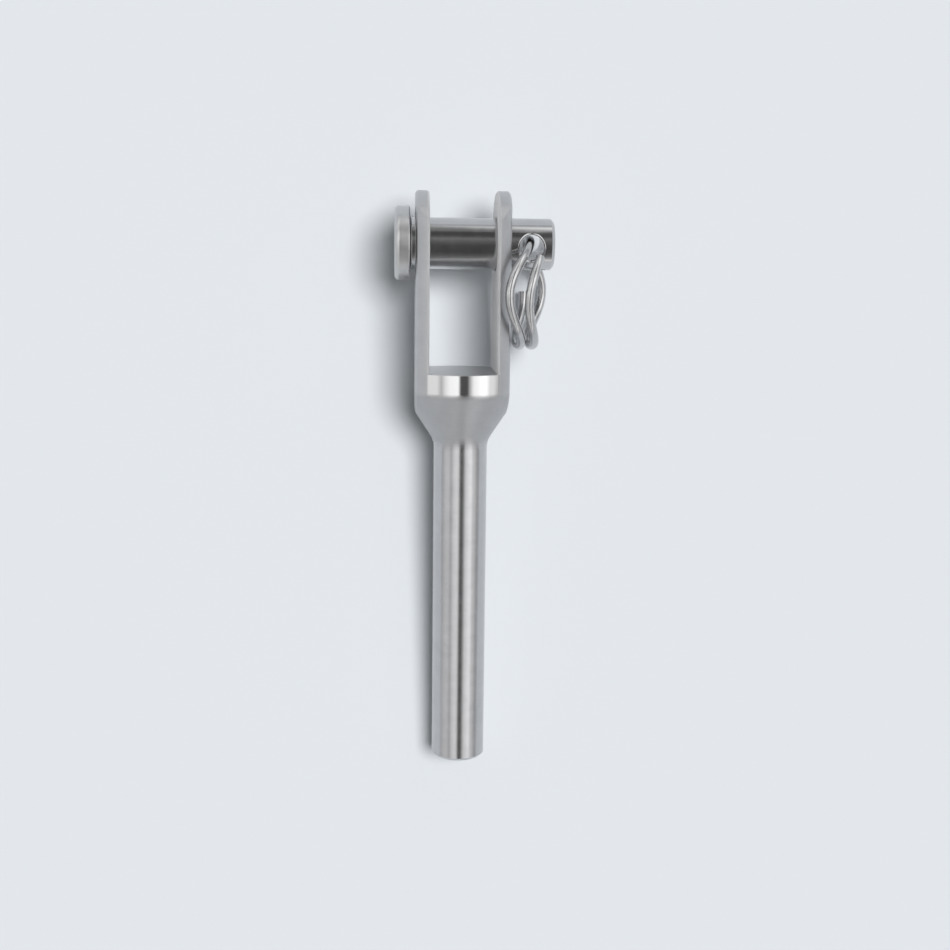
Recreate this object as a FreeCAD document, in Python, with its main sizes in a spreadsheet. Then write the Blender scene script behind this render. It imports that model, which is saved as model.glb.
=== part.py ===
import FreeCAD, Part
import math
import os

import Sketcher

# Fork terminal for a wire rope: a fork turned and milled from round bar, a headed pin through
# its ears, and a split ring of round wire that keeps the pin in.
# Frame: the origin is on the pin's axis in the middle of the fork's gap. +X runs along the pin
# to its ring end, +Y to the tips of the ears, and the rope leaves along -Y. +Z is up.

OUT = "parts"
FULL_TURN = 360.0
RING_SPANS = 48

# Driving sizes in millimetres and degrees: name, value, what it is.
SIZES = (
    ("bar_diameter", 20.0, "round bar that the terminal is turned from"),
    ("width_over_flats", 15.8, "across the milled outer sides of the ears"),
    ("fork_gap", 11.3, "between the ears"),
    ("tip_inset", 1.25, "rounded tips of the ears inside the radius of the bar"),
    ("pin_to_slot_floor", 21.4, "pin axis to the floor of the slot"),
    ("pin_to_cone", 25.2, "pin axis to the start of the cone"),
    ("cone_half_angle", 33.5, "cone from the bar down to the shank"),
    ("shank_diameter", 9.2, "plain shank that is pressed on the rope"),
    ("pin_to_shank_end", 89.6, "pin axis to the end of the shank"),
    ("collar_blend", 1.6, "radius between bar and cone"),
    ("shank_blend", 4.0, "radius between cone and shank"),
    ("ear_edge_break", 0.35, "chamfer round the outer sides of the ears"),
    ("gap_edge_break", 0.3, "chamfer round the inner sides of the ears"),
    ("shank_end_chamfer", 0.5, "chamfer on the rim of the shank's end"),
    ("rope_diameter", 5.0, "rope that the bore is drilled for"),
    ("rope_clearance", 0.1, "bore beyond the rope, on the radius"),
    ("rope_bore_depth", 48.0, "full-diameter depth of the rope bore"),
    ("drill_half_angle", 59.0, "half angle of the drill point at the bore's end"),
    ("bore_chamfer", 0.4, "chamfer at the mouth of the rope bore"),
    ("pin_diameter", 8.6, "clevis pin"),
    ("pin_clearance", 0.05, "ear holes beyond the pin, on the radius"),
    ("pin_end_play", 0.9, "play of the pin between its head and the ear"),
    ("head_diameter", 12.4, "head of the pin"),
    ("head_thickness", 2.6, "head of the pin"),
    ("head_edge_radius", 0.8, "rounding of the head's outer rim"),
    ("head_neck_radius", 0.3, "fillet under the head"),
    ("hole_standoff", 3.5, "outer side of the ear to the axis of the cross hole"),
    ("hole_end_margin", 3.9, "axis of the cross hole to the free end of the pin"),
    ("pin_end_chamfer", 0.5, "chamfer on the free end of the pin"),
    ("cross_hole_diameter", 4.2, "cross hole for the ring"),
    ("cross_hole_break", 0.25, "rounding of the cross hole's mouths"),
    ("pin_turn", 9.0, "turn of the pin in the ears that leans its hole towards the shank"),
    ("ring_wire_diameter", 1.5, "wire of the split ring"),
    ("ring_inset", 1.1, "mean radius of the ring inside that of the bar"),
    ("ring_pitch", 2.15, "sideways advance of the ring in a full turn"),
    ("ring_lean", 2.2, "sideways reach of the ring's front and back"),
    ("ring_lean_fade", 0.75, "share of that reach that is gone a full turn from the hole"),
    ("ring_bow", 0.45, "share of the lean that straightens the wire in the hole"),
    ("ring_seat", 0.8, "wire's offset in the cross hole, towards the tips"),
    ("ring_side_seat", 0.2, "wire's offset in the cross hole, towards the ear"),
    ("ring_tilt", 0.4, "sideways offset of the ring's far side, towards the ear"),
    ("ring_tail_angle", 270.0, "turn from the hole to the ring's back end"),
    ("ring_nose_angle", 312.0, "turn from the hole to the ring's front end"),
    ("cutter_overrun", 5.0, "reach of the milled cuts past the bar"),
)


def make_sheet(doc):
    """Spreadsheet that holds the driving sizes, one alias to a row."""
    sheet = doc.addObject("Spreadsheet::Sheet", "Sizes")
    for row, (alias, value, meaning) in enumerate(SIZES, start=1):
        sheet.set(f"A{row}", meaning)
        sheet.set(f"B{row}", str(value))
        sheet.setAlias(f"B{row}", alias)
    doc.recompute()
    return sheet


def expand(expression):
    """Expression with each size's name replaced by its place in the sheet."""
    for alias in sorted((name for name, _, _ in SIZES), key=len, reverse=True):
        expression = expression.replace(alias, f"<<Sizes>>.{alias}")
    return expression


def value_of(sheet, expression):
    """Number that an expression of the sheet's sizes has now."""
    result = sheet.evalExpression(expression)
    return float(getattr(result, "Value", result))


def make_body(doc, label):
    """Body whose label names its sub-part."""
    body = doc.addObject("PartDesign::Body", label)
    body.Label = label
    body.Placement = FreeCAD.Placement()
    return body


def make_sketch(body, name, plane):
    """Empty sketch on one of the body's own origin planes."""
    sketch = body.newObject("Sketcher::SketchObject", name)
    support = next(item for item in body.Origin.OriginFeatures if item.Role == plane)
    sketch.AttachmentSupport = [(support, "")]
    sketch.MapMode = "FlatFace"
    return sketch


def bind(sketch, constraint, name, bound):
    """Add a named dimension to a sketch and hold it at an expression."""
    index = sketch.addConstraint(constraint)
    sketch.renameConstraint(index, name)
    sketch.setExpression(f"Constraints.{name}", bound)


def fix_point(sketch, sheet, geometry, point, axis, expression):
    """Hold one coordinate of a point at an expression of the sizes."""
    value = value_of(sheet, expression)
    if value == 0.0:
        across = -2 if axis == "X" else -1
        sketch.addConstraint(Sketcher.Constraint("PointOnObject", geometry, point, across))
        return
    kind = "Distance" + axis
    if value > 0.0:
        constraint = Sketcher.Constraint(kind, -1, 1, geometry, point, value)
        bound = expand(expression)
    else:
        constraint = Sketcher.Constraint(kind, geometry, point, -1, 1, -value)
        bound = f"-({expand(expression)})"
    bind(sketch, constraint, f"{axis.lower()}_of_{geometry}", bound)


def draw_outline(sketch, sheet, corners):
    """Closed outline of straight lines through corners given as two expressions each.

    A side whose ends share an expression is made vertical or horizontal instead.
    """
    places = [FreeCAD.Vector(value_of(sheet, x), value_of(sheet, y), 0) for x, y in corners]
    count = len(corners)
    lines = []
    for index in range(count):
        side = Part.LineSegment(places[index], places[(index + 1) % count])
        lines.append(sketch.addGeometry(side, False))
    for index in range(count):
        following = lines[(index + 1) % count]
        sketch.addConstraint(Sketcher.Constraint("Coincident", lines[index], 2, following, 1))
    for index, (x, y) in enumerate(corners):
        for axis, expression, straight, before in (
            ("X", x, "Vertical", corners[index - 1][0]),
            ("Y", y, "Horizontal", corners[index - 1][1]),
        ):
            if index and expression == before:
                sketch.addConstraint(Sketcher.Constraint(straight, lines[index - 1]))
            else:
                fix_point(sketch, sheet, lines[index], 1, axis, expression)
    return lines


def blend_corner(sketch, sheet, line, radius):
    """Round the corner at the end of a line; the sharp corner's own dimensions stay."""
    earlier = sketch.GeometryCount
    size = value_of(sheet, radius)
    sketch.fillet(line, 2, size, True, True)
    arc = next(index for index in range(earlier, sketch.GeometryCount)
               if isinstance(sketch.Geometry[index], Part.ArcOfCircle))
    bind(sketch, Sketcher.Constraint("Radius", arc, size), f"blend_{arc}", expand(radius))


def draw_circle(sketch, sheet, centre, radius):
    """Circle with its centre and radius held at expressions of the sizes."""
    place = FreeCAD.Vector(value_of(sheet, centre[0]), value_of(sheet, centre[1]), 0)
    up = FreeCAD.Vector(0, 0, 1)
    circle = sketch.addGeometry(Part.Circle(place, up, value_of(sheet, radius)), False)
    fix_point(sketch, sheet, circle, 3, "X", centre[0])
    fix_point(sketch, sheet, circle, 3, "Y", centre[1])
    size = value_of(sheet, radius)
    bind(sketch, Sketcher.Constraint("Radius", circle, size), "hole_radius", expand(radius))


def turn(body, sketch, name, axis, cut=False):
    """Full revolution of a sketch about one of its axes, added or cut."""
    feature = body.newObject("PartDesign::Groove" if cut else "PartDesign::Revolution", name)
    feature.Profile = sketch
    feature.ReferenceAxis = (sketch, [axis])
    feature.Angle = FULL_TURN
    return feature


def cut_through(body, sketch, name):
    """Pocket that goes through the whole body on both sides of its sketch."""
    feature = body.newObject("PartDesign::Pocket", name)
    feature.Profile = sketch
    feature.Type = "ThroughAll"
    feature.SideType = "Symmetric"
    return feature


def dress(body, kind, name, size, expression, chosen):
    """Fillet or chamfer on the edges of the present tip that a test chooses."""
    doc = body.Document
    doc.recompute()
    base = body.Tip
    edges = [f"Edge{n}" for n, edge in enumerate(base.Shape.Edges, start=1) if chosen(edge)]
    feature = body.newObject("PartDesign::" + kind, name)
    feature.Base = (base, edges)
    feature.setExpression(size, expand(expression))
    doc.recompute()
    return feature


def lies_on_plane(edge, axis, place):
    """True if the whole edge lies in the plane where one coordinate has this value."""
    box = edge.BoundBox
    low = getattr(box, axis + "Min")
    high = getattr(box, axis + "Max")
    margin = 1e-4
    return abs(low - place) < margin and abs(high - place) < margin


def make_terminal(doc, sheet):
    """Fork and shank, turned from bar, then slotted, milled and drilled."""
    body = make_body(doc, "fork_terminal")
    bar_radius = "bar_diameter / 2"
    shank_radius = "shank_diameter / 2"
    cone_end = "-pin_to_cone - (bar_diameter - shank_diameter) / 2 / tan(cone_half_angle * 1deg)"
    tip_radius = "(bar_diameter / 2 - tip_inset)"
    beyond_bar = "bar_diameter / 2 + cutter_overrun"

    # Both ends of the cone are turned with a radius.
    sketch = make_sketch(body, "TurnedOutline", "XY_Plane")
    lines = draw_outline(sketch, sheet, (
        ("0", tip_radius),
        (bar_radius, tip_radius),
        (bar_radius, "-pin_to_cone"),
        (shank_radius, cone_end),
        (shank_radius, "shank_end_chamfer - pin_to_shank_end"),
        (f"{shank_radius} - shank_end_chamfer", "-pin_to_shank_end"),
        ("0", "-pin_to_shank_end"),
    ))
    blend_corner(sketch, sheet, lines[1], "collar_blend")
    blend_corner(sketch, sheet, lines[2], "shank_blend")
    turn(body, sketch, "TurnedBlank", "V_Axis")

    # The blind bore keeps the drill's point, and its mouth is broken for the rope.
    bore_radius = "rope_diameter / 2 + rope_clearance"
    bore_end = "rope_bore_depth - pin_to_shank_end"
    mouth = "-pin_to_shank_end"
    sketch = make_sketch(body, "BoreOutline", "XY_Plane")
    draw_outline(sketch, sheet, (
        ("0", mouth),
        (f"{bore_radius} + bore_chamfer", mouth),
        (bore_radius, f"{mouth} + bore_chamfer"),
        (bore_radius, bore_end),
        ("0", f"{bore_end} + ({bore_radius}) / tan(drill_half_angle * 1deg)"),
    ))
    turn(body, sketch, "RopeBore", "V_Axis", cut=True)

    # The slot is milled from the tips to its flat floor.
    sketch = make_sketch(body, "SlotOutline", "XY_Plane")
    draw_outline(sketch, sheet, (
        ("-fork_gap / 2", "-pin_to_slot_floor"),
        ("fork_gap / 2", "-pin_to_slot_floor"),
        ("fork_gap / 2", beyond_bar),
        ("-fork_gap / 2", beyond_bar),
    ))
    cut_through(body, sketch, "ForkSlot")

    # The outer flats run out on the cone, where it is as narrow as they are.
    for name, side in (("Left", "-1"), ("Right", "1")):
        sketch = make_sketch(body, name + "FlatOutline", "XY_Plane")
        draw_outline(sketch, sheet, (
            (f"{side} * width_over_flats / 2", beyond_bar),
            (f"{side} * ({beyond_bar})", beyond_bar),
            (f"{side} * ({beyond_bar})", cone_end),
            (f"{side} * width_over_flats / 2", cone_end),
        ))
        cut_through(body, sketch, name + "Flat")

    # The tips are milled round about the pin: this takes off all that is beyond the radius.
    sketch = make_sketch(body, "TipOutline", "YZ_Plane")
    draw_tip_waste(sketch, sheet, tip_radius, beyond_bar)
    cut_through(body, sketch, "RoundTips")

    sketch = make_sketch(body, "PinHoleOutline", "YZ_Plane")
    draw_circle(sketch, sheet, ("0", "0"), "pin_diameter / 2 + pin_clearance")
    cut_through(body, sketch, "PinHole")

    outer = value_of(sheet, "width_over_flats / 2")
    inner = value_of(sheet, "fork_gap / 2")
    floor = value_of(sheet, "-pin_to_slot_floor")
    dress(body, "Chamfer", "EarEdges", "Size", "ear_edge_break",
          lambda edge: lies_on_plane(edge, "X", outer) or lies_on_plane(edge, "X", -outer))
    dress(body, "Chamfer", "GapEdges", "Size", "gap_edge_break",
          lambda edge: (lies_on_plane(edge, "X", inner) or lies_on_plane(edge, "X", -inner))
          and not lies_on_plane(edge, "Y", floor))
    return body


def draw_tip_waste(sketch, sheet, tip_radius, beyond_bar):
    """Outline of the bar's end beyond the round tips: an arc closed by straight lines."""
    radius = value_of(sheet, tip_radius)
    reach = value_of(sheet, beyond_bar)
    arc = sketch.addGeometry(Part.Arc(
        FreeCAD.Vector(0, -radius, 0), FreeCAD.Vector(radius, 0, 0), FreeCAD.Vector(0, radius, 0)),
        False)
    corners = [(0, radius), (0, reach), (reach, reach), (reach, -reach), (0, -reach), (0, -radius)]
    lines = []
    for (x0, y0), (x1, y1) in zip(corners, corners[1:]):
        side_line = Part.LineSegment(FreeCAD.Vector(x0, y0, 0), FreeCAD.Vector(x1, y1, 0))
        lines.append(sketch.addGeometry(side_line, False))
    chain = [(arc, 2, lines[0], 1), (lines[-1], 2, arc, 1)]
    chain += [(first, 2, second, 1) for first, second in zip(lines, lines[1:])]
    for first, end, second, start in chain:
        sketch.addConstraint(Sketcher.Constraint("Coincident", first, end, second, start))
    sketch.addConstraint(Sketcher.Constraint("Coincident", arc, 3, -1, 1))
    for line in (lines[0], lines[2], lines[4]):
        sketch.addConstraint(Sketcher.Constraint("Vertical", line))
    for line in (lines[1], lines[3]):
        sketch.addConstraint(Sketcher.Constraint("Horizontal", line))
    fix_point(sketch, sheet, lines[0], 1, "X", "0")
    fix_point(sketch, sheet, lines[4], 2, "X", "0")
    fix_point(sketch, sheet, lines[1], 2, "X", beyond_bar)
    fix_point(sketch, sheet, lines[1], 2, "Y", beyond_bar)
    fix_point(sketch, sheet, lines[3], 1, "Y", f"-({beyond_bar})")
    bind(sketch, Sketcher.Constraint("Radius", arc, radius), "tip_rounding", expand(tip_radius))


def make_pin(doc, sheet):
    """Headed pin, turned in one piece, with a cross hole near its free end."""
    body = make_body(doc, "clevis_pin")
    under_head = "-width_over_flats / 2 - pin_end_play"
    top_of_head = f"{under_head} - head_thickness"
    hole_place = "width_over_flats / 2 + hole_standoff"
    free_end = f"{hole_place} + hole_end_margin"

    sketch = make_sketch(body, "PinOutline", "XY_Plane")
    lines = draw_outline(sketch, sheet, (
        (top_of_head, "0"),
        (top_of_head, "head_diameter / 2"),
        (under_head, "head_diameter / 2"),
        (under_head, "pin_diameter / 2"),
        (f"{free_end} - pin_end_chamfer", "pin_diameter / 2"),
        (free_end, "pin_diameter / 2 - pin_end_chamfer"),
        (free_end, "0"),
    ))
    blend_corner(sketch, sheet, lines[0], "head_edge_radius")
    blend_corner(sketch, sheet, lines[1], "head_neck_radius")
    blend_corner(sketch, sheet, lines[2], "head_neck_radius")
    turn(body, sketch, "TurnedPin", "H_Axis")

    sketch = make_sketch(body, "CrossHoleOutline", "XY_Plane")
    draw_circle(sketch, sheet, (hole_place, "0"), "cross_hole_diameter / 2")
    cut_through(body, sketch, "CrossHole")

    # The mouths are the only curves that are neither round nor straight and reach both sides.
    hole_radius = value_of(sheet, "cross_hole_diameter / 2")
    dress(body, "Fillet", "CrossHoleMouths", "Radius", "cross_hole_break",
          lambda edge: isinstance(edge.Curve, Part.BSplineCurve)
          and edge.BoundBox.YLength > hole_radius)
    body.Placement = FreeCAD.Placement(FreeCAD.Vector(), FreeCAD.Rotation(FreeCAD.Vector(1, 0, 0), 1))
    body.setExpression("Placement.Rotation.Angle", expand("pin_turn * 1deg"))
    return body


def ring_point(sheet, turned):
    """Centre of the ring's wire, a turn away from the cross hole; a positive turn goes down."""
    radius = value_of(sheet, "bar_diameter / 2 - ring_inset")
    seated_x = value_of(sheet, "width_over_flats / 2 + hole_standoff - ring_side_seat")
    turns = turned / math.tau
    reach = value_of(sheet, "ring_lean") * (1 - value_of(sheet, "ring_lean_fade") * turns * turns)
    lean = reach * (math.sin(turned) - value_of(sheet, "ring_bow") * math.sin(3 * turned))
    below_hole = (1 - math.cos(turned)) / 2
    return FreeCAD.Vector(
        seated_x + value_of(sheet, "ring_pitch") * turns + lean - value_of(sheet, "ring_tilt") * below_hole,
        value_of(sheet, "ring_seat") - 2 * radius * below_hole,
        -radius * math.sin(turned),
    )


def make_ring(doc, sheet):
    """Split ring: round wire swept along its turns, with plain cut ends."""
    first = -math.radians(value_of(sheet, "ring_tail_angle"))
    last = math.radians(value_of(sheet, "ring_nose_angle"))
    turns = [first + (last - first) * step / RING_SPANS for step in range(RING_SPANS + 1)]
    path = Part.BSplineCurve()
    path.interpolate([ring_point(sheet, turned) for turned in turns])
    wire_radius = value_of(sheet, "ring_wire_diameter / 2")
    start = path.value(path.FirstParameter)
    along = path.tangent(path.FirstParameter)[0]
    section = Part.Wire([Part.Edge(Part.Circle(start, along, wire_radius))])
    solid = Part.Wire([path.toShape()]).makePipeShell([section], True, False)
    ring = doc.addObject("Part::Feature", "split_ring")
    ring.Label = "split_ring"
    ring.Shape = solid
    ring.Placement = FreeCAD.Placement()
    return ring


def check(doc, pieces):
    """Stop if anything in the document failed, or if a piece isn't one valid solid."""
    for item in doc.Objects:
        if "Invalid" in item.State or "Error" in item.State:
            raise RuntimeError(f"{item.Label} failed: {item.State}")
    for piece in pieces:
        if piece.Shape.isNull() or not piece.Shape.isValid() or len(piece.Shape.Solids) != 1:
            raise RuntimeError(f"{piece.Label} isn't one valid solid")


def main():
    doc = FreeCAD.newDocument("fork_terminal")
    sheet = make_sheet(doc)
    pieces = [make_terminal(doc, sheet), make_pin(doc, sheet), make_ring(doc, sheet)]
    doc.recompute()
    check(doc, pieces)
    os.makedirs(OUT, exist_ok=True)
    for piece in pieces:
        piece.Shape.exportStep(os.path.join(OUT, piece.Label + ".step"))
        print(piece.Label, round(piece.Shape.Volume, 3), piece.Shape.BoundBox)


main()
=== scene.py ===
import math

import bpy
from mathutils import Matrix, Vector

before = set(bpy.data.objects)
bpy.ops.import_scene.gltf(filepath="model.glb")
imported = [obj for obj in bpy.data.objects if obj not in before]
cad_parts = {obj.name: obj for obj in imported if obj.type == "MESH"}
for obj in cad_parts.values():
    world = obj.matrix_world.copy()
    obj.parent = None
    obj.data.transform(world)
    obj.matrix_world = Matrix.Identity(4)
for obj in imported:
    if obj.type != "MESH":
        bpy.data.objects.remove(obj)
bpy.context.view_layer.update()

# How the part lies: on the rounded edge where the bar meets the cone, and on the rim of the shank's end.
# Both places are given along the part and above the pin's axis.
COLLAR_ROUNDING = 0.0016
COLLAR_CENTRE = (-0.02472, -0.0084)
SHANK_RIM = (-0.0891, -0.0046)

# Where the terminal's finish, painted light and painted shade change: places along the part, and half
# the width between the ears with their chamfers. Each fade is half the length of the change. The slot's
# floor itself stays satin, and the polish starts at the clearance from it.
SHANK_START = -0.0335
SHANK_FADE = 0.001
CONE_START = -0.025
CONE_FADE = 0.0006
BAR_END = -0.0248
BAR_FADE = 0.0004
SLOT_FLOOR = -0.0214
SLOT_FLOOR_CLEARANCE = 0.00008
SLOT_FLOOR_FADE = 0.00004
GAP_SIDE = 0.00595
GAP_FADE = 0.00015

# Where the pin's head ends and its bright shank starts, from the middle of the gap.
HEAD_FACE = -0.0086
HEAD_FADE = 0.0002

# Finish, painted light and painted shade: how much smoother than its own satin a surface is, where less
# than nothing is duller, the part of its roughness that full smoothness takes off, how far it turns to
# the lighter steel, and how far painted shade darkens it. The lighter steel is partly polish and partly
# painted light on the dull ear insides; the painted shade darkens the cone.
SHANK_SMOOTHNESS = 0.55
COLLAR_SMOOTHNESS = 1.0
EAR_SMOOTHNESS = -2.0
HEAD_SMOOTHNESS = -1.6
SMOOTHING = 0.8
HEAD_LIGHTNESS = 0.1
CONE_PAINTED_SHADE = 0.17
POLISHED_AND_PAINTED_LIGHT = (0.74, 0.74, 0.745)
PAINTED_SHADE_COLOUR = (0.0, 0.0, 0.0)

# The steel's clouds, grain and tool marks, in waves to the metre, and how they share its mottle.
CLOUDS = 420.0
GRAIN = 900.0
CLOUD_SHARE = 0.6
MOTTLE = (0.35, 0.65)
TURNED = 9000.0
DRAWN = 900.0
PLAIN = 300.0

# Camera: its place and the point that it looks at, from the middle of the gap, as sideways, along the
# floor and up. The roll is in degrees, and lens and sensor are in millimetres.
CAMERA_PLACE = (-0.0125, -0.0208, 0.240)
CAMERA_AIM = (0.00240, -0.03908, 0.0)
CAMERA_ROLL = 0.35
LENS = 53.56
SENSOR = 36.0
CLIP = (0.001, 100.0)

# Floor, and how far it reaches to each side.
FLOOR_COLOUR = (0.752, 0.783, 0.815)
FLOOR_REACH = 4.0

# One broad lamp: where it stands, as sideways, along and up, how bright and how wide in degrees.
LAMP_PLACE = (0.25, 0.13, 1.0)
LAMP_ENERGY = 2.70
LAMP_WIDTH = 28.0

# Strength of the studio in the steel, and as light on the floor beside the lamp.
STUDIO = 2.8
AMBIENT = 0.5

# Heights of a direction between which the horizon's grey gives way to the panels. For its angle from
# overhead, a direction counts as no lower than the lowest.
HORIZON = (0.02, 0.30)
HORIZON_COLOUR = (0.20, 0.206, 0.212)
LOWEST = 0.001

# The studio's panels: angle from overhead, in degrees, and brightness. Across runs from left to right,
# and along runs from the shank to the tips. The stripes are added to the rest and show in the pin.
PANELS_ACROSS = (
    (-80, 0.46), (-66, 0.56), (-50, 0.54), (-41, 0.32), (-33, 0.55), (-24, 0.68), (-8, 0.72),
    (-3, 0.045), (10, 0.045), (22, 0.64), (32, 0.74), (45, 0.92), (56, 0.56), (64, 0.56), (82, 0.20),
)
PANELS_ALONG = (
    (-84, 0.42), (-74, 0.48), (-64, 0.42), (-40, 0.50), (-8, 0.60), (12, 0.72), (24, 0.78),
    (40, 0.50), (52, 0.46), (64, 0.72), (84, 0.70),
)
STRIPES_ALONG = (
    (-84, 0.12), (-64, 0.04), (-40, 0.0), (-10, 0.0), (8, 0.02), (22, 0.05), (34, 0.005),
    (50, 0.0), (64, 0.04),
)


def lie_angle():
    """Slope of the floor under the part, about X."""
    run = COLLAR_CENTRE[0] - SHANK_RIM[0]
    drop = SHANK_RIM[1] - COLLAR_CENTRE[1]
    return math.atan2(drop, run) + math.asin(COLLAR_ROUNDING / math.hypot(run, drop))


LIE = lie_angle()
SIDE = Vector((1.0, 0.0, 0.0))
ALONG = Vector((0.0, math.cos(LIE), -math.sin(LIE)))
UP = Vector((0.0, math.sin(LIE), math.cos(LIE)))


def on_floor(side, along, height):
    """Vector given sideways, along the sloping floor and up from it."""
    return SIDE * side + ALONG * along + UP * height


def opaque(colour):
    """Colour with full cover, as sockets and ramps take it."""
    return (*colour, 1.0)


def from_overhead(panels):
    """Ramp stops for brightnesses given at angles from overhead."""
    return [(0.5 + degrees / 180.0, (level, level, level)) for degrees, level in panels]


def add_to_scene(name, data):
    """New object in the scene."""
    thing = bpy.data.objects.new(name, data)
    bpy.context.scene.collection.objects.link(thing)
    return thing


class Nodes:
    """Short calls for building a node tree."""

    def __init__(self, tree):
        self.tree = tree
        tree.nodes.clear()

    def fill(self, node, sockets):
        """Give a node's sockets constants, or links from other nodes."""
        for name, value in sockets.items():
            socket = node.inputs[name]
            if isinstance(value, bpy.types.NodeSocket):
                self.tree.links.new(value, socket)
            else:
                socket.default_value = value
        return node

    def add(self, kind, sockets=None):
        """New node with its sockets filled."""
        return self.fill(self.tree.nodes.new(kind), sockets or {})

    def maths(self, operation, *values):
        """Result of an operation on numbers or other nodes' values."""
        node = self.add("ShaderNodeMath")
        node.operation = operation
        return self.fill(node, dict(enumerate(values))).outputs[0]

    def mix(self, first, second, factor=1.0, blend="MIX"):
        """Blend of two colours."""
        node = self.add("ShaderNodeMix")
        node.data_type = "RGBA"
        node.blend_type = blend
        return self.fill(node, {"Factor": factor, "A": first, "B": second}).outputs["Result"]

    def ramp(self, source, stops):
        """Colour that changes with a value, from stop to stop."""
        node = self.add("ShaderNodeValToRGB", {"Fac": source})
        ramp = node.color_ramp
        while len(ramp.elements) < len(stops):
            ramp.elements.new(0.5)
        for element, (place, colour) in zip(ramp.elements, stops):
            element.position = place
            element.color = opaque(colour)
        return node.outputs[0]

    def span(self, source, start, end, before, after):
        """Smooth change of a value, from one level before a range to another after it."""
        node = self.add("ShaderNodeMapRange")
        node.interpolation_type = "SMOOTHSTEP"
        return self.fill(node, {"Value": source, "From Min": start, "From Max": end,
                                "To Min": before, "To Max": after}).outputs[0]

    def edge(self, source, place, fade, before, after):
        """Smooth step that is half done at a place."""
        return self.span(source, place - fade, place + fade, before, after)

    def coordinate(self, kind, axis):
        """One coordinate of the shaded place on the part, or of a direction in the world."""
        place = self.add("ShaderNodeTexCoord").outputs[kind]
        return self.add("ShaderNodeSeparateXYZ", {"Vector": place}).outputs[axis]

    def bearing(self, side, height):
        """Angle of a direction from overhead, as a place on a ramp."""
        turns = self.maths("DIVIDE", self.maths("ARCTAN2", side, height), math.pi)
        return self.maths("ADD", turns, 0.5)

    def noise(self, scale, detail, rough=0.55, stretch=(1.0, 1.0, 1.0)):
        """Noise over the part, with its waves packed closer by three factors."""
        place = self.add("ShaderNodeTexCoord").outputs["Object"]
        mapping = self.add("ShaderNodeMapping", {"Vector": place, "Scale": stretch})
        return self.add("ShaderNodeTexNoise", {
            "Vector": mapping.outputs[0], "Scale": scale, "Detail": detail, "Roughness": rough,
        }).outputs["Fac"]


def new_material(name):
    """Material and its empty node tree."""
    material = bpy.data.materials.new(name)
    material.use_nodes = True
    return material, Nodes(material.node_tree)


def steel(name, tones, roughness, marks, marks_depth, grain_depth, polish_and_painted_light=None):
    """Steel with a cloudy tone, fine tool marks and a fine grain.

    marks says how closely the tool marks are packed along each axis, and the depths are in metres.
    The last argument, if given, says from place to place how light the steel is, partly with painted
    light, how smooth it is, and how much painted shade darkens it.
    """
    material, nodes = new_material(name)
    clouds = nodes.noise(CLOUDS, detail=4.0)
    streaks = nodes.noise(1.0, detail=4.0, rough=0.6, stretch=marks)
    mottle = nodes.maths("ADD", nodes.maths("MULTIPLY", clouds, CLOUD_SHARE),
                         nodes.maths("MULTIPLY", streaks, 1.0 - CLOUD_SHARE))
    colour = nodes.ramp(mottle, list(zip(MOTTLE, tones)))
    dullness = nodes.span(mottle, *MOTTLE, *roughness)
    if polish_and_painted_light:
        lightness, smoothness, shade = polish_and_painted_light(nodes)
        # Lighter steel where the finish says so: polish, and painted light on the dull ear insides.
        colour = nodes.mix(colour, opaque(POLISHED_AND_PAINTED_LIGHT), lightness)
        # Painted shade: the steel is darkened towards black by the last factor, as on the cone.
        colour = nodes.mix(colour, opaque(PAINTED_SHADE_COLOUR), shade)
        kept = nodes.maths("SUBTRACT", 1.0, nodes.maths("MULTIPLY", smoothness, SMOOTHING))
        dullness = nodes.maths("MULTIPLY", dullness, kept)
    lines = nodes.add("ShaderNodeBump", {"Distance": marks_depth, "Height": streaks})
    grain = nodes.add("ShaderNodeBump", {
        "Distance": grain_depth, "Height": nodes.noise(GRAIN, detail=2.0), "Normal": lines.outputs[0],
    })
    shader = nodes.add("ShaderNodeBsdfPrincipled", {
        "Metallic": 1.0, "Base Color": colour, "Roughness": dullness, "Normal": grain.outputs[0],
    })
    nodes.add("ShaderNodeOutputMaterial", {"Surface": shader.outputs[0]})
    return material


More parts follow.
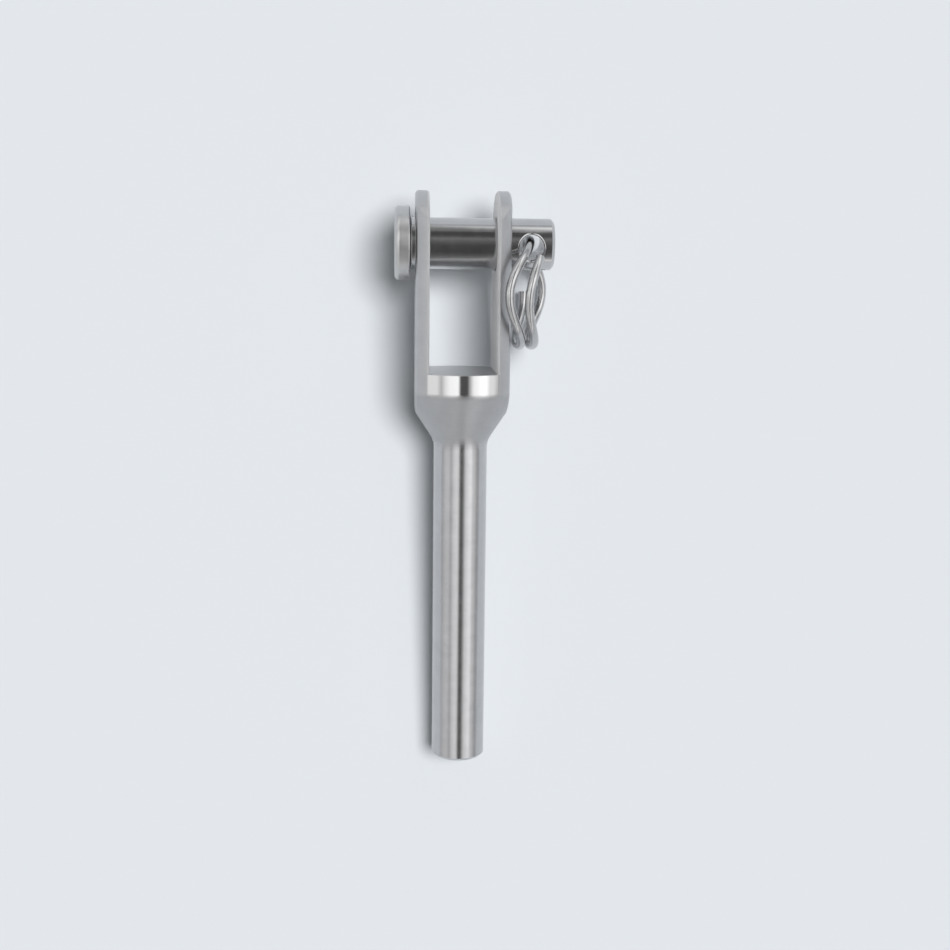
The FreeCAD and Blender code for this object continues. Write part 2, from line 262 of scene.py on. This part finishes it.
def terminal_polish_and_painted_light(nodes):
    """A half-bright shank, a cone darkened by painted shade, a mirror-bright collar, dull ear insides
    lightened by painted light, and the rest satin.
    """
    x, y = (nodes.coordinate("Object", axis) for axis in "XY")
    shank = nodes.edge(y, SHANK_START, SHANK_FADE, SHANK_SMOOTHNESS, 0.0)
    # Painted shade darkens the cone, from the shank's start to the bar.
    cone = nodes.maths("MULTIPLY", nodes.edge(y, SHANK_START, SHANK_FADE, 0.0, CONE_PAINTED_SHADE),
                       nodes.edge(y, CONE_START, CONE_FADE, 1.0, 0.0))
    on_bar = nodes.edge(y, BAR_END, BAR_FADE, 0.0, 1.0)
    in_gap = nodes.edge(nodes.maths("ABSOLUTE", x), GAP_SIDE, GAP_FADE, 1.0, 0.0)
    inside = nodes.maths("MULTIPLY", on_bar, in_gap)
    collar = nodes.edge(y, SLOT_FLOOR - SLOT_FLOOR_CLEARANCE, SLOT_FLOOR_FADE, 1.0, 0.0)
    ears = nodes.edge(y, SLOT_FLOOR + SLOT_FLOOR_CLEARANCE, SLOT_FLOOR_FADE, 0.0, 1.0)
    # The lighter steel: polish on the collar, and painted light on the dull ear insides.
    lightness = nodes.maths("MULTIPLY", inside, nodes.maths("ADD", collar, ears))
    bright = nodes.maths("ADD", nodes.maths("MULTIPLY", collar, COLLAR_SMOOTHNESS),
                         nodes.maths("MULTIPLY", ears, EAR_SMOOTHNESS))
    smoothness = nodes.maths("ADD", shank, nodes.maths("MULTIPLY", inside, bright))
    return lightness, smoothness, cone


def pin_polish(nodes):
    """A bright pin whose head is satin."""
    x = nodes.coordinate("Object", "X")
    lightness, smoothness = (nodes.edge(x, HEAD_FACE, HEAD_FADE, level, 0.0)
                             for level in (HEAD_LIGHTNESS, HEAD_SMOOTHNESS))
    return lightness, smoothness, 0.0


def dress_part():
    """Give each CAD node its own steel."""
    steels = {
        "fork_terminal": steel(
            "terminal_steel", tones=((0.49, 0.49, 0.50), (0.55, 0.55, 0.56)), roughness=(0.35, 0.39),
            marks=(PLAIN, TURNED, PLAIN), marks_depth=1.2e-6, grain_depth=1.6e-6, polish_and_painted_light=terminal_polish_and_painted_light,
        ),
        "clevis_pin": steel(
            "pin_steel", tones=((0.50, 0.50, 0.505), (0.55, 0.55, 0.555)), roughness=(0.12, 0.15),
            marks=(TURNED, PLAIN, PLAIN), marks_depth=1e-6, grain_depth=1e-6, polish_and_painted_light=pin_polish,
        ),
        "split_ring": steel(
            "ring_wire", tones=((0.44, 0.44, 0.445), (0.55, 0.55, 0.555)), roughness=(0.12, 0.20),
            marks=(DRAWN, DRAWN, DRAWN), marks_depth=1e-6, grain_depth=2e-6,
        ),
    }
    for node, material in steels.items():
        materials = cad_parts[node].data.materials
        materials.clear()
        materials.append(material)


def make_floor():
    """Plain pale floor that the part rests on."""
    contact = Vector((0.0, *SHANK_RIM))
    corners = [contact + on_floor(FLOOR_REACH * side, FLOOR_REACH * along, 0.0)
               for side, along in ((-1, -1), (1, -1), (1, 1), (-1, 1))]
    mesh = bpy.data.meshes.new("floor")
    mesh.from_pydata(corners, [], [(0, 1, 2, 3)])
    material, nodes = new_material("floor_paper")
    paper = nodes.add("ShaderNodeBsdfPrincipled", {
        "Base Color": opaque(FLOOR_COLOUR), "Roughness": 1.0, "Specular IOR Level": 0.0,
    })
    nodes.add("ShaderNodeOutputMaterial", {"Surface": paper.outputs[0]})
    mesh.materials.append(material)
    add_to_scene("floor", mesh)


def make_world():
    """Soft studio: bright panels left and right of a dark gap overhead, grey at the horizon.

    The steel sees it in full, the floor is lit by less of it, and the camera sees a plain backdrop.
    """
    world = bpy.data.worlds.new("studio")
    bpy.context.scene.world = world
    world.use_nodes = True
    nodes = Nodes(world.node_tree)
    x, y, z = (nodes.coordinate("Generated", axis) for axis in "XYZ")
    height = nodes.maths("MAXIMUM", z, LOWEST)
    across = nodes.bearing(x, height)
    along = nodes.bearing(y, height)
    panels = nodes.mix(nodes.ramp(across, from_overhead(PANELS_ACROSS)),
                       nodes.ramp(along, from_overhead(PANELS_ALONG)), blend="MULTIPLY")
    striped = nodes.mix(panels, nodes.ramp(along, from_overhead(STRIPES_ALONG)), blend="ADD")
    seen = nodes.mix(opaque(HORIZON_COLOUR), striped, nodes.span(z, *HORIZON, 0.0, 1.0))
    path = nodes.add("ShaderNodeLightPath")
    dimming = nodes.maths("MULTIPLY", path.outputs["Is Diffuse Ray"], STUDIO - AMBIENT)
    room = nodes.add("ShaderNodeBackground", {
        "Color": seen, "Strength": nodes.maths("SUBTRACT", STUDIO, dimming),
    })
    backdrop = nodes.add("ShaderNodeBackground", {"Color": opaque(FLOOR_COLOUR)})
    either = nodes.add("ShaderNodeMixShader", {
        0: path.outputs["Is Camera Ray"], 1: room.outputs[0], 2: backdrop.outputs[0],
    })
    nodes.add("ShaderNodeOutputWorld", {"Surface": either.outputs[0]})


def make_lamp():
    """Broad lamp from the right, for the shadow on the left. The steel doesn't reflect it."""
    light = bpy.data.lights.new("key", "SUN")
    light.energy = LAMP_ENERGY
    light.angle = math.radians(LAMP_WIDTH)
    lamp = add_to_scene("key", light)
    lamp.visible_glossy = False
    lamp.rotation_euler = on_floor(*LAMP_PLACE).to_track_quat("Z", "Y").to_euler()


def make_camera():
    """Camera over the fork, a little to its left, as the photo was taken."""
    data = bpy.data.cameras.new("camera")
    data.sensor_width = SENSOR
    data.lens = LENS
    data.clip_start, data.clip_end = CLIP
    place = on_floor(*CAMERA_PLACE)
    back = (place - on_floor(*CAMERA_AIM)).normalized()
    turned = Matrix.Rotation(math.radians(CAMERA_ROLL), 3, UP) @ ALONG
    right = turned.cross(back).normalized()
    matrix = Matrix((right, back.cross(right), back)).transposed().to_4x4()
    matrix.translation = place
    camera = add_to_scene("camera", data)
    camera.matrix_world = matrix
    bpy.context.scene.camera = camera


dress_part()
make_floor()
make_world()
make_lamp()
make_camera()
bpy.context.scene.view_settings.view_transform = "Standard"
